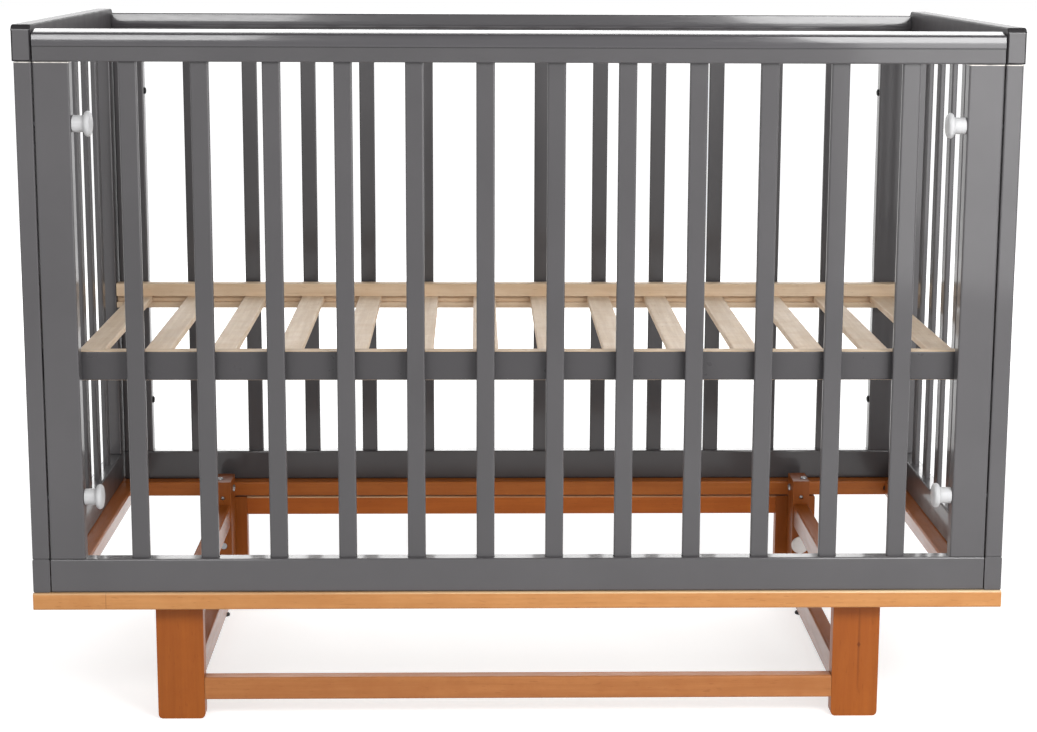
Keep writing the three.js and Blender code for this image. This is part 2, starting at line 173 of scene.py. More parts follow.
def times(tree, a, b):
    return math_node(tree, "MULTIPLY", a, b)


def larger(tree, a, b):
    return math_node(tree, "MAXIMUM", a, b)


def spread(tree, value, from_low, from_high, low, high):
    """The value mapped from one range to another, and kept inside it."""
    return node(
        tree, "MapRange", Value=value, From_Min=from_low, From_Max=from_high, To_Min=low, To_Max=high
    ).outputs[0]


def blended(tree, share, a, b):
    """Two colours mixed by a share."""
    made = node(tree, "Mix", settings={"data_type": "RGBA"})
    for socket, value in ((made.inputs[0], share), (made.inputs[6], a), (made.inputs[7], b)):
        connect(tree, socket, value)
    return made.outputs[2]


def ramp(tree, value, *stops):
    """A colour ramp through (position, colour) stops."""
    made = node(tree, "ValToRGB", value)
    elements = made.color_ramp.elements
    while len(elements) < len(stops):
        elements.new(0.5)
    for element, (position, colour) in zip(elements, stops):
        element.position = position
        element.color = colour
    return made.outputs[0]


def place(tree):
    """Where a point lies on the crib."""
    return node(tree, "TexCoord").outputs["Object"]


def place_along(tree, axis):
    """Where a point lies along one axis of the crib."""
    return node(tree, "SeparateXYZ", place(tree)).outputs[axis]


def normal_along(tree, axis):
    """How far the surface looks along an axis, from -1 to 1."""
    return node(tree, "SeparateXYZ", node(tree, "NewGeometry").outputs["Normal"]).outputs[axis]


def drawn_out(tree, axis, stretch):
    """Object coordinates in which a pattern is drawn out along one axis, as grain is."""
    scale = [1.0, 1.0, 1.0]
    scale["xyz".index(axis)] = 1 / stretch
    return node(tree, "Mapping", Vector=place(tree), Scale=scale).outputs[0]


def noise(tree, vector, scale, detail=2.0, roughness=0.5, distortion=0.0):
    return node(
        tree,
        "TexNoise",
        Vector=vector,
        Scale=scale,
        Detail=detail,
        Roughness=roughness,
        Distortion=distortion,
    ).outputs[0]


def bumped(tree, height, strength, distance, normal):
    """The normal with a pattern's relief added."""
    return node(
        tree, "Bump", Strength=strength, Distance=distance, Height=height, Normal=normal
    ).outputs[0]


def rounded_edges(tree, radius):
    """The normal of a softly rounded edge, and a mask that is 1 along the edges."""
    soft = node(tree, "Bevel", settings={"samples": 6}, Radius=radius).outputs[0]
    flat = node(tree, "NewGeometry").outputs["True Normal"]
    likeness = node(tree, "VectorMath", soft, flat, settings={"operation": "DOT_PRODUCT"})
    return soft, spread(tree, likeness.outputs["Value"], 0.995, 0.8, 0, 1)


def roundness(tree):
    """0 on faces square to an axis and 1 on the rounded edges between them."""
    across, back, up = (math_node(tree, "ABSOLUTE", normal_along(tree, axis)) for axis in "XYZ")
    return spread(tree, larger(tree, larger(tree, across, back), up), 0.998, 0.97, 0, 1)


def facing_along(tree, axis):
    """1 on faces that look one way or the other along an axis."""
    return spread(tree, math_node(tree, "ABSOLUTE", normal_along(tree, axis)), 0.7, 0.9, 0, 1)


def facing_inwards(tree):
    """1 on faces that look left or right towards the middle of the crib."""
    side = math_node(tree, "SIGN", place_along(tree, "X"))
    return spread(tree, times(tree, normal_along(tree, "X"), side), -0.7, -0.9, 0, 1)


def line_across(tree, axis, middle, width):
    """1 on a thin line at one place along an axis."""
    return math_node(tree, "COMPARE", place_along(tree, axis), middle, width / 2)


# Painted boards


def grain_under_paint(tree, rail_axis):
    """Grain along the rails at the top and the bottom of a frame, and upright between them."""
    foot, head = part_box("front_bottom_rail")[1].z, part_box("front_top_rail")[0].z
    height = place_along(tree, "Z")
    upright = times(
        tree,
        math_node(tree, "GREATER_THAN", height, foot),
        math_node(tree, "LESS_THAN", height, head),
    )
    along_rail, upwards = (noise(tree, drawn_out(tree, axis, 22), 240, 3) for axis in (rail_axis, "z"))
    return blended(tree, upright, along_rail, upwards)


def cap_gloss(tree, edges):
    """A cap's specular level and coat: thin on top, and next to none on its rounded edges and on
    the face that looks into the crib."""
    level = facing_along(tree, "Z")
    dull = larger(tree, facing_inwards(tree), spread(tree, edges, 0.8, 1, 0, 1))
    specular = spread(tree, level, 0, 1, PAINT_SPECULAR, 0)
    coat = spread(tree, level, 0, 1, PAINT_COAT, 0.22)
    return spread(tree, dull, 0, 1, specular, 0.02), spread(tree, dull, 0, 1, coat, 0)


def upright_ends(tree, colour):
    """A painted highlight: a cream line along the upper ends of stiles and posts, broken up by noise,
    and the dark joint at their lower ends."""
    highlight_width, joint_width = 0.0013, 0.0010
    highlight_drop, joint_rise = 0.0008, 0.0007
    foot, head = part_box("front_left_stile")[0].z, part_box("front_left_stile")[1].z
    breaks = spread(tree, noise(tree, place(tree), 90, 2), 0.35, 0.5, 0.45, 0.95)
    line = line_across(tree, "Z", head - highlight_drop, highlight_width)
    joint = line_across(tree, "Z", foot + joint_rise, joint_width)
    # Painted highlight: a cream line along the upper ends
    colour = blended(tree, times(tree, line, breaks), colour, CREAM_HIGHLIGHT)
    return blended(tree, times(tree, joint, 0.7), colour, toned(GREY_PAINT, 0.35))


def guard_lip_shadow(tree, colour):
    """Painted shadow: a dark line on a board just under the lips of the rail guard."""
    joint_width, shadow_drop = 0.0013, 0.0006
    # Painted shadow cast by the guard's lips
    joint = line_across(tree, "Z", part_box("front_rail_guard")[0].z - shadow_drop, joint_width)
    return blended(tree, times(tree, joint, 0.75), colour, toned(GREY_PAINT, 0.3))


def painted_board(name, rail_axis, shade=1.0, marks=()):
    """Grey lacquer on wood: the grain shows faintly through, and the paint is thinner on the
    edges."""
    made, tree, shader = material(name)
    soft, edge = rounded_edges(tree, 0.0012)
    clouds = spread(tree, noise(tree, place(tree), 7, 3, 0.55), 0.3, 0.7, 0, 1)
    body = blended(tree, clouds, toned(GREY_PAINT, 0.93 * shade), toned(GREY_PAINT, 1.08 * shade))
    patches = spread(tree, noise(tree, place(tree), 60, 3), 0.4, 0.62, 0.1, 0.55)
    colour = blended(tree, times(tree, edge, patches), body, toned(GREY_PAINT, 1.8))
    specular, coat = PAINT_SPECULAR, PAINT_COAT
    if "shaded edges" in marks:
        edges = roundness(tree)
        # Painted shade: the caps' rounded edges and noses are darkened
        colour = blended(tree, edges, colour, toned(GREY_PAINT, 0.45))
        specular, coat = cap_gloss(tree, edges)
    if "upright ends" in marks:
        colour = upright_ends(tree, colour)
    # Painted shadow under the rail guard's lips
    if "guard lip shadow" in marks:
        colour = guard_lip_shadow(tree, colour)
    grain = bumped(tree, grain_under_paint(tree, rail_axis), 0.12, 0.0002, soft)
    fill(
        tree,
        shader,
        Base_Color=colour,
        Roughness=spread(tree, noise(tree, place(tree), 30, 4), 0.3, 0.7, 0.36, 0.46),
        Normal=bumped(tree, noise(tree, place(tree), 900, 1), 0.05, 0.0002, grain),
        Specular_IOR_Level=specular,
        Coat_Weight=coat,
        Coat_Roughness=0.1,
    )
    return made


# Bare and varnished wood


def wood_figure(tree, axis, tone):
    """The colour and the relief of a board whose grain runs along an axis."""
    figure = noise(tree, drawn_out(tree, axis, 9), 15, 6, 0.6, 0.5)
    lines = noise(tree, drawn_out(tree, axis, 26), 170, 3, 0.6)
    flecks = noise(tree, drawn_out(tree, axis, 7), 520, 1)
    mottle = noise(tree, place(tree), 34, 4, 0.62)
    end_grain = math_node(tree, "ABSOLUTE", normal_along(tree, axis.upper()))
    colour = ramp(
        tree,
        figure,
        (0.28, toned(tone, 0.78, 0.72, 0.66)),
        (0.5, tone),
        (0.74, toned(tone, 1.12, 1.16, 1.24)),
    )
    # For each pattern, the range in which it comes in, how strong it gets, and its tone
    for pattern, start, full, strength, shares in (
        (lines, 0.35, 0.65, 0.42, (0.74, 0.66, 0.58)),
        (mottle, 0.42, 0.68, 0.42, (0.82, 0.72, 0.62)),
        (flecks, 0.66, 0.74, 0.35, (0.55, 0.46, 0.38)),
        (end_grain, 0.8, 0.95, 0.55, (0.62, 0.52, 0.44)),
    ):
        colour = blended(tree, spread(tree, pattern, start, full, 0, strength), colour, toned(tone, *shares))
    relief = math_node(tree, "SUBTRACT", math_node(tree, "ADD", figure, lines), flecks)
    return colour, relief


def top_edge_highlight(tree, colour, level, left_share, right_share):
    """A painted highlight along a board's upper edge, broken up by noise, by a share at each end of it."""
    strip_height, left_end, right_end = 0.0016, -0.6, 0.5
    breaks = spread(tree, noise(tree, drawn_out(tree, "x", 30), 60, 2), 0.35, 0.6, 0.35, 0.9)
    strip = math_node(tree, "GREATER_THAN", place_along(tree, "Z"), level - strip_height)
    rubbed = spread(tree, place_along(tree, "X"), left_end, right_end, left_share, right_share)
    # Painted highlight along the upper edge
    return blended(tree, times(tree, times(tree, strip, rubbed), breaks), colour, VARNISH_HIGHLIGHT)


def finger_joint(tree, colour, tone):
    """The thin dark line where a long board is joined end to end."""
    joint_width = 0.0011
    line = times(tree, line_across(tree, "X", FINGER_JOINT_X, joint_width), 0.6)
    return blended(tree, line, colour, toned(tone, 0.5, 0.42, 0.34))


def knot(tree, colour, tone):
    """A pin knot in the right front leg, with a dark line of grain through it."""
    spot_middle, spot_rim, narrowness = 0.0035, 0.0065, 2.2
    line_middle, line_rim = 0.0003, 0.0022
    line_full, line_end = 0.03, 0.08
    offset = node(tree, "VectorMath", place(tree), KNOT_PLACE, settings={"operation": "SUBTRACT"})
    apart = node(tree, "SeparateXYZ", offset.outputs["Vector"])
    across, upwards = (math_node(tree, "ABSOLUTE", apart.outputs[axis]) for axis in "XZ")
    oval = math_node(tree, "ADD", times(tree, across, narrowness), upwards)
    spot = spread(tree, oval, spot_middle, spot_rim, 0.85, 0)
    line = times(
        tree,
        spread(tree, across, line_middle, line_rim, 0.45, 0),
        spread(tree, upwards, line_full, line_end, 1, 0),
    )
    return blended(tree, larger(tree, spot, line), colour, toned(tone, 0.35, 0.26, 0.2))


def varnished_beech(name, axis, tone, marks=(), specular=0.22, coat=0.08, side_coat=None):
    """Stained beech under a satin varnish, paler where the edges are rubbed, with a painted highlight along
    the top edge of some boards.
    """
    made, tree, shader = material(name)
    colour, relief = wood_figure(tree, axis, tone)
    if "finger joint" in marks:
        colour = finger_joint(tree, colour, tone)
    # Painted highlight along the top edges of the front rail and the beam
    if "front rail edge" in marks:
        colour = top_edge_highlight(tree, colour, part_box("base_front_rail")[1].z, 0.4, 1)
    if "beam edge" in marks:
        colour = top_edge_highlight(tree, colour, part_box("back_beam")[1].z, 1, 0.4)
    if "knot" in marks:
        colour = knot(tree, colour, tone)
    soft, edge = rounded_edges(tree, 0.0015)
    patches = spread(tree, noise(tree, place(tree), 45, 3), 0.35, 0.6, 0.25, 0.7)
    if side_coat is not None:
        coat = spread(tree, facing_along(tree, "X"), 0, 1, coat, side_coat)
    fill(
        tree,
        shader,
        Base_Color=blended(tree, times(tree, edge, patches), colour, toned(tone, 1.35, 1.5, 1.75)),
        Roughness=spread(tree, noise(tree, drawn_out(tree, axis, 6), 60, 3), 0.3, 0.7, 0.34, 0.48),
        Normal=bumped(tree, relief, 0.25, 0.0003, soft),
        Specular_IOR_Level=specular,
        Coat_Weight=coat,
        Coat_Roughness=0.2,
    )
    return made


def mattress_base_wood():
    """Bare birch, with the crib's grey paint on the rails' outer faces, darkened there as painted shade."""
    made, tree, shader = material("mattress_base_wood")
    rail_thickness, paint_depth = 0.022, 0.0006
    outer_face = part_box("mattress_back_rail_with_slats")[1].y
    depth = math_node(tree, "ABSOLUTE", place_along(tree, "Y"))
    rail = math_node(tree, "GREATER_THAN", depth, outer_face - rail_thickness)
    painted = math_node(tree, "GREATER_THAN", depth, outer_face - paint_depth)
    rail_colour, rail_relief = wood_figure(tree, "x", toned(PALE_BIRCH, 0.88, 0.86, 0.82))
    slat_colour, slat_relief = wood_figure(tree, "y", PALE_BIRCH)
    soft, edge = rounded_edges(tree, 0.001)
    wood = blended(tree, rail, slat_colour, rail_colour)
    wood = blended(tree, times(tree, edge, 0.3), wood, toned(PALE_BIRCH, 1.08, 1.1, 1.14))
    relief = math_node(tree, "ADD", rail_relief, slat_relief)
    roughness = spread(tree, noise(tree, place(tree), 40, 3), 0.3, 0.7, 0.5, 0.66)
    fill(
        tree,
        shader,
        # The grey is toned down to 0.82: painted shade behind the slats
        Base_Color=blended(tree, painted, wood, toned(GREY_PAINT, 0.82)),
        Roughness=math_node(tree, "SUBTRACT", roughness, times(tree, painted, 0.24)),
        Normal=bumped(tree, relief, 0.18, 0.0003, soft),
        Specular_IOR_Level=0.3,
    )
    return made


# Plastic, rubber and metal


def moulded_guard():
    """The glossy grey plastic of the rail guards, which lies in slow waves along the rail."""
    made, tree, shader = material("moulded_guard")
    waves = noise(tree, drawn_out(tree, "x", 9), 22, 2)
    scuffs = noise(tree, drawn_out(tree, "x", 14), 700, 2)
    clouds = noise(tree, place(tree), 9, 2)
    soft, edge = rounded_edges(tree, 0.0006)
    body = blended(tree, clouds, toned(GREY_PVC, 0.95), toned(GREY_PVC, 1.05))
    fill(
        tree,
        shader,
        Base_Color=blended(tree, times(tree, edge, 0.3), body, toned(GREY_PVC, 1.7)),
        Roughness=spread(tree, scuffs, 0.35, 0.75, 0.13, 0.24),
        Normal=bumped(tree, scuffs, 0.04, 0.0001, bumped(tree, waves, 0.22, 0.0012, soft)),
        Coat_Weight=0.5,
        Coat_Roughness=0.06,
    )
    return made


def plain_finish(name, colour, metallic, roughness, specular=0.5, marks=300):
    """Plastic or metal: a slight cloudiness, fine marks and brighter edges."""
    made, tree, shader = material(name)
    soft, edge = rounded_edges(tree, 0.0004)
    clouds = noise(tree, place(tree), 60, 3)
    scratches = noise(tree, place(tree), marks, 3, 0.6)
    body = blended(tree, clouds, toned(colour, 0.93), toned(colour, 1.04))
    fill(
        tree,
        shader,
        Base_Color=blended(tree, times(tree, edge, 0.35), body, toned(colour, 1.12)),
        Metallic=metallic,
        Roughness=spread(tree, scratches, 0.3, 0.7, roughness * 0.8, roughness * 1.25),
        Normal=bumped(tree, scratches, 0.08, 0.0001, soft),
        Specular_IOR_Level=specular,
    )
    return made


# The finish of each piece

PAINT = {
    "long": painted_board("painted_board_long", "x"),
    # shade=0.86 darkens the slats and the front top rail: painted shade
    "slat": painted_board("painted_slat_shaded", "x", shade=0.86, marks=("guard lip shadow",)),
    # shade=0.8 darkens the back frame: painted shade
    "back": painted_board("painted_back_board_shaded", "x", shade=0.8, marks=("guard lip shadow",)),
    "end": painted_board("painted_board_end", "y"),
    # The caps carry painted shade on their rounded edges
    "cap": painted_board("painted_cap", "y", marks=("shaded edges",)),
    "upright": painted_board("painted_upright", "x", marks=("upright ends",)),
}
BEECH_LOOKS = {
    "front_x": {"axis": "x", "tone": srgb(0xC88E57), "marks": ("finger joint", "front rail edge")},
    "frame_x": {"axis": "x", "tone": FRAME_BEECH},
    "frame_y": {"axis": "y", "tone": FRAME_BEECH, "specular": 0.2, "coat": 0.0, "side_coat": 1.0},
    "beam_x": {"axis": "x", "tone": srgb(0xB86322), "marks": ("beam edge",)},
    "leg_z": {"axis": "z", "tone": srgb(0x9E561C), "marks": ("knot",)},
    "hanger_z": {"axis": "z", "tone": HANGER_BEECH},
    "hanger_y": {"axis": "y", "tone": HANGER_BEECH, "specular": 0.05, "coat": 0.0, "side_coat": 0.8},
    "cross_x": {"axis": "x", "tone": srgb(0xAE7141)},
}
BEECH = {kind: varnished_beech(f"beech_{kind}", **look) for kind, look in BEECH_LOOKS.items()}
GUARD_PLASTIC = moulded_guard()
MATTRESS_WOOD = mattress_base_wood()
STEEL = plain_finish("zinc_plated_steel", ZINC, 1.0, 0.32)
NYLON = plain_finish("white_nylon", WHITE_NYLON, 0.0, 0.4, specular=0.25, marks=120)
CAP_PLASTIC = plain_finish("white_cap_plastic", WHITE_CAP, 0.0, 0.45, specular=0.3, marks=120)
BLACK_STEEL = plain_finish("black_oxide_steel", BLACK_OXIDE, 0.7, 0.38)
BLACK_RUBBER = plain_finish("black_rubber", BLACK_OXIDE, 0.0, 0.6)


def beech_kind(node_name):
    """The kind of beech board that a node is. Its last letter is the axis of the grain."""
    if node_name == "base_front_rail":
        return "front_x"
    if node_name == "base_back_rail":
        return "frame_x"
    if node_name.startswith("base_"):
        return "frame_y"
    if node_name == "back_beam":
        return "beam_x"
    if node_name.endswith("_leg"):
        return "leg_z"
    if node_name.endswith("_arm"):
        return "hanger_z"
    if node_name.endswith("_bar"):
        return "hanger_y"
    return "cross_x"


def finish_of(node_name):
    """The material of a CAD node."""
    if "guard" in node_name:
        return GUARD_PLASTIC
    if node_name.startswith("mattress"):
        return MATTRESS_WOOD
    if node_name.endswith("_link"):
        return STEEL
    if node_name.endswith("_pin"):
        return NYLON
    if node_name.endswith(("_stile", "_post")):
        return PAINT["upright"]
    if "_end_" in node_name:
        return PAINT["end"]
    if node_name.startswith("back") and node_name.endswith(("rail", "slats")):
        return PAINT["back"]
    if node_name.startswith("front_slat") or node_name == "front_top_rail":
        return PAINT["slat"]
    if node_name == "front_bottom_rail":
        return PAINT["long"]
    return BEECH[beech_kind(node_name)]


def dress(piece, finish):
    """Gives the whole piece one finish."""
    if not piece.material_slots:
        piece.data.materials.append(finish)
    for holder in piece.material_slots:
        holder.material = finish


for node_name, cad_node in frame["nodes"].items():
    dress(cad_node, finish_of(node_name))


# Modelling by hand


def started(name, add, **options):
    """A primitive on its own, at its size and place, as the start of a piece."""
    bpy.ops.object.select_all(action="DESELECT")
    add(**options)
    piece = bpy.context.object
    bpy.ops.object.transform_apply(location=True, rotation=True, scale=True)
    piece.name = piece.data.name = name
    return piece


def boxed(name, low, high):
    """A box between two corners."""
    middle, size = (low + high) / 2, high - low
    return started(name, bpy.ops.mesh.primitive_cube_add, size=1, location=middle, scale=size)


def edit(piece, kind):
    """Opens the piece for editing its faces or its edges."""
    bpy.context.view_layer.objects.active = piece
    bpy.ops.object.mode_set(mode="EDIT")
    bpy.ops.mesh.select_mode(type=kind)


def done():
    bpy.ops.object.mode_set(mode="OBJECT")


def pick(piece, kind, wanted):
    """Opens the piece for editing with only its wanted faces or edges selected."""
    edit(piece, kind)
    bpy.ops.mesh.select_all(action="DESELECT")
    mesh = bmesh.from_edit_mesh(piece.data)
    for part in mesh.faces if kind == "FACE" else mesh.edges:
        if wanted(part):
            part.select_set(True)
    mesh.select_flush_mode()
    bmesh.update_edit_mesh(piece.data)


def middle_of(edge):
    return (edge.verts[0].co + edge.verts[1].co) / 2


def runs_along(edge, axis):
    way = edge.verts[1].co - edge.verts[0].co
    return abs(way.normalized()["xyz".index(axis)]) > 0.99


def rounded(piece, wanted, radius, steps=FINE_BEVEL):
    """Rounds the wanted edges."""
    pick(piece, "EDGE", wanted)
    bpy.ops.mesh.bevel(offset=radius, offset_type="OFFSET", segments=steps, affect="EDGES", profile=0.5)
    done()


def take_up(piece):
    """Makes the piece the one that object operators act on."""
    bpy.ops.object.select_all(action="DESELECT")
    piece.select_set(True)
    bpy.context.view_layer.objects.active = piece


def smoothed(piece, degrees=35):
    take_up(piece)
    bpy.ops.object.shade_smooth_by_angle(angle=math.radians(degrees))


def modified(piece, kind, **settings):
    """Adds a modifier and applies it."""
    take_up(piece)
    modifier = piece.modifiers.new(kind.title(), kind)
    for name, value in settings.items():
        setattr(modifier, name, value)
    bpy.ops.object.modifier_apply(modifier=modifier.name)


def cut(piece, cutter):
    """Takes the cutter out of the piece and removes the cutter."""
    modified(piece, "BOOLEAN", operation="DIFFERENCE", solver="EXACT", object=cutter)
    bpy.data.objects.remove(cutter)


def turned(name, rings):
    """A round piece that stands on the origin along +Z. It starts as a disc, and each ring is
    (distance up, radius): the top face is extruded to it and scaled."""
    (start, radius), rest = rings[0], rings[1:]
    piece = started(
        name,
        bpy.ops.mesh.primitive_circle_add,
        vertices=ROUND_STEPS,
        radius=radius,
        fill_type="NGON",
        location=(0, 0, start),
    )
    edit(piece, "FACE")
    bpy.ops.mesh.select_all(action="SELECT")
    height = start
    for up, wide in rest:
        bpy.ops.mesh.extrude_region_move(TRANSFORM_OT_translate={"value": (0, 0, up - height)})
        bpy.ops.transform.resize(value=(wide / radius, wide / radius, 1), center_override=(0, 0, up))
        height, radius = up, wide
    bpy.ops.mesh.select_all(action="SELECT")
    bpy.ops.mesh.normals_make_consistent(inside=False)
    done()
    return piece


def arc_rings(centre_up, centre_radius, radius, first, last, steps):
    """Rings along an arc, from one angle to another in degrees. 0 points outwards, 90 up."""
    angles = [math.radians(first + (last - first) * i / steps) for i in range(steps + 1)]
    return [(centre_up + radius * math.sin(a), centre_radius + radius * math.cos(a)) for a in angles]


def copy_of(model, name, there, direction, body):
    """A copy with its own mesh, moved there and turned from +Z to a direction, that rides on a
    body."""
    piece = model.copy()
    piece.data = model.data.copy()
    piece.name = piece.data.name = name
    bpy.context.scene.collection.objects.link(piece)
    turn = Vector(direction).to_track_quat("Z", "Y").to_matrix().to_4x4()
    piece.data.transform(Matrix.Translation(there) @ turn)
    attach(piece, body)
    return piece


def inner_one(low, high, side):
    """Of two places along an axis, the one nearer to the middle of the crib."""
    return low if side > 0 else high


def corners():
    """The name, the side and the facing of each corner of the crib."""
    for side_name, side in SIDES.items():
        for facing_name, facing in FACINGS.items():
            yield f"{facing_name}_{side_name}", side, facing


# The pieces


def make_rail_guard(facing_name):
    """A channel of thin glossy plastic that clips down over the top rail. Its top slopes down to
    the outside, and its sides lean in from a little way up."""
    node_name = f"{facing_name}_rail_guard"
    low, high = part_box(node_name)
    wall, lip, fall = 0.0015, 0.0004, 0.005
    lean, lean_start, lean_blend = 0.0018, low.z + 0.0062, 0.0034
    outer_edge, inner_edge = 0.0018, 0.0016
    near = 0.0002

    def lengthwise(level):
        return lambda edge: runs_along(edge, "x") and abs(middle_of(edge).z - level) < near

    def top_edge(face_y):
        return lambda edge: lengthwise(high.z)(edge) and abs(middle_of(edge).y - face_y) < near

    piece = boxed(f"{facing_name}_guard_channel", low, high)
    pick(piece, "FACE", lambda face: face.normal.z < -0.5 or abs(face.normal.x) > 0.5)
    bpy.ops.mesh.delete(type="FACE")
    done()
    pick(piece, "FACE", lambda face: abs(face.normal.y) > 0.5)
    bpy.ops.mesh.bisect(plane_co=(0, 0, lean_start), plane_no=(0, 0, 1))
    done()
    facing = FACINGS[facing_name]
    for outwards, drop in ((facing, fall), (-facing, 0)):
        pick(piece, "EDGE", top_edge(high.y if outwards > 0 else low.y))
        bpy.ops.transform.translate(value=(0, -outwards * lean, -drop))
        done()
    rounded(piece, lengthwise(high.z - fall), outer_edge, steps=6)
    rounded(piece, lengthwise(lean_start), lean_blend, steps=8)
    rounded(piece, lengthwise(high.z), inner_edge, steps=6)
    modified(piece, "SOLIDIFY", thickness=wall, offset=-1, use_even_offset=True)
    rounded(piece, lengthwise(low.z), lip, steps=2)
    smoothed(piece)
    dress(piece, GUARD_PLASTIC)
    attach(piece, "crib_body")
    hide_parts(node_name)


def make_end_cap(side_name):
    """An end panel's top rail, with small rounded edges and a rounder nose at each end."""
    node_name = f"{side_name}_end_top_rail"
    low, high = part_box(node_name)
    nose, side_edge, end_edge, low_edge = 0.0078, 0.0022, 0.0026, 0.0018
    near, near_square = 0.0003, 0.2

    def at_end(edge):
        return abs(middle_of(edge).y) > high.y - near

    def at_top(edge):
        return middle_of(edge).z > high.z - near

    def at_foot(edge):
        return middle_of(edge).z < low.z + near

    def above_nose(edge):
        return middle_of(edge).z > high.z - nose - near

    def square(edge):
        return abs(abs(edge.calc_face_angle(0)) - math.pi / 2) < near_square

    piece = boxed(f"{side_name}_end_cap", low, high)
    rounded(piece, lambda edge: at_end(edge) and at_top(edge) and runs_along(edge, "x"), nose, steps=10)
    rounded(piece, lambda edge: at_end(edge) and (at_foot(edge) or runs_along(edge, "z")), end_edge, steps=5)
    rounded(piece, lambda edge: at_foot(edge) and runs_along(edge, "y"), low_edge)
    rounded(
        piece,
        lambda edge: above_nose(edge) and square(edge) and not runs_along(edge, "x"),
        side_edge,
    )
    smoothed(piece, 50)
    modified(piece, "WEIGHTED_NORMAL", keep_sharp=True)
    dress(piece, PAINT["cap"])
    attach(piece, "crib_body")
    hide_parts(node_name)


def pull_pin_model():
    """A white nylon knob on a steel shank, turned from its tip to the dome of the knob."""
    low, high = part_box("upper_right_pin")
    length, knob = high.x - low.x, (high.z - low.z) / 2
    shank, shank_chamfer, shoulder = 0.004, 0.001, 0.0001
    stem, stem_length, stem_chamfer, clearance = 0.0105, 0.015, 0.0006, 0.0003
    flare, flare_height, rim, dome = 0.001, 0.0012, 0.0042, 0.0016
    dome_shares = (0.82, 0.6, 0.35, 0.12)
    stem_start = high.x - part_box("front_right_stile")[0].x + clearance
    knob_start = stem_start + stem_length
    rings = [(0, shank - shank_chamfer), (shank_chamfer, shank)]
    rings += [(stem_start - shoulder, shank), (stem_start, stem - stem_chamfer)]
    rings += [(stem_start + stem_chamfer, stem), (knob_start - flare_height, stem)]
    rings += [(knob_start, stem + flare)]
    rings += arc_rings(knob_start + rim, knob - rim, rim, -90, 0, 6)
    rings += arc_rings(length - dome - rim, knob - rim, rim, 0, 85, 6)
    rings += [(length - dome * share**2, (knob - rim) * share) for share in dome_shares]
    model = turned("pull_pin_model", rings)
    model.data.materials.append(NYLON)
    model.data.materials.append(STEEL)
    for face in model.data.polygons:
        face.material_index = 1 if face.center.z < stem_start - shoulder / 2 else 0
    smoothed(model)
    return model


def make_pull_pins():
    """The four pull pins, each with its tip in the end post."""
    model = pull_pin_model()
    for level_name in PIN_LEVELS:
        for side_name, side in SIDES.items():
            node_name = f"{level_name}_{side_name}_pin"
            low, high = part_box(node_name)
            middle = (low + high) / 2
            tip = (high.x if side > 0 else low.x, middle.y, middle.z)
            name = f"{level_name}_{side_name}_pull_knob"
            piece = copy_of(model, name, tip, (-side, 0, 0), node_name)
            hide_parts(node_name)
    bpy.data.objects.remove(model)


def bolt_model(name, finish):
    """A bolt's low domed head with its hexagon socket."""
    dome = BOLT_HEAD_HEIGHT * BOLT_DOME_SHARE
    rings = [(0, BOLT_HEAD_RADIUS)]
    rings += arc_rings(BOLT_HEAD_HEIGHT - dome, BOLT_HEAD_RADIUS - dome, dome, 0, 90, 6)
    model = turned(name, rings)
    socket = started(
        "socket_cutter",
        bpy.ops.mesh.primitive_cylinder_add,
        vertices=6,
        radius=SOCKET_RADIUS,
        depth=2 * SOCKET_DEPTH,
        location=(0, 0, BOLT_HEAD_HEIGHT),
    )
    cut(model, socket)
    dress(model, finish)
    smoothed(model)
    return model


def make_bolts():
    """Black bolt heads on the back stiles' inner edges, at the height of the pull pins, and on
    the back base rail, and two bright ones on each arm."""
    black, bright = bolt_model("black_bolt_model", BLACK_STEEL), bolt_model("bright_bolt_model", STEEL)
    rail_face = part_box("base_back_rail")[0].y
    for side_name, side in SIDES.items():
        low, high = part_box(f"back_{side_name}_stile")
        for level_name in PIN_LEVELS:
            pin_low, pin_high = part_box(f"{level_name}_{side_name}_pin")
            there = (inner_one(low.x, high.x, side), (low.y + high.y) / 2, (pin_low.z + pin_high.z) / 2)
            name = f"{level_name}_{side_name}_stile_bolt"
            copy_of(black, name, there, (-side, 0, 0), "crib_body")
        there = (side * BASE_BOLT_X, rail_face, BASE_MIDDLE_Z)
        copy_of(black, f"{side_name}_base_bolt", there, (0, -1, 0), "crib_body")
        for facing_name, facing in FACINGS.items():
            corner = f"{facing_name}_{side_name}"
            low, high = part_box(f"{corner}_arm")
            there = (inner_one(low.x, high.x, side), facing * ARM_SIDE_BOLT_Y, ARM_SIDE_BOLT_Z)
            copy_of(bright, f"{corner}_arm_side_bolt", there, (-side, 0, 0), "crib_body")
            there = (side * ARM_TOP_BOLT_X, facing * ARM_TOP_BOLT_Y, high.z)
            copy_of(bright, f"{corner}_arm_top_bolt", there, (0, 0, 1), "crib_body")
    bpy.data.objects.remove(black)
    bpy.data.objects.remove(bright)


def make_hole_screws():
    """The end of a screw that shows in the hole of each arm."""
    rings = [(0, HOLE_SCREW_RADIUS)]
    rings += arc_rings(0, HOLE_SCREW_RADIUS - HOLE_SCREW_HEIGHT, HOLE_SCREW_HEIGHT, 5, 85, 5)
    model = turned("hole_screw_model", rings)
    dress(model, STEEL)
    smoothed(model, 60)
    for corner, _side, facing in corners():
        low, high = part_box(f"{corner}_arm")
        depth = inner_one(low.y, high.y, facing) + facing * HOLE_SCREW_RECESS
        there = ((low.x + high.x) / 2, depth, BASE_MIDDLE_Z)
        copy_of(model, f"{corner}_arm_screw", there, (0, -facing, 0), "crib_body")
    bpy.data.objects.remove(model)


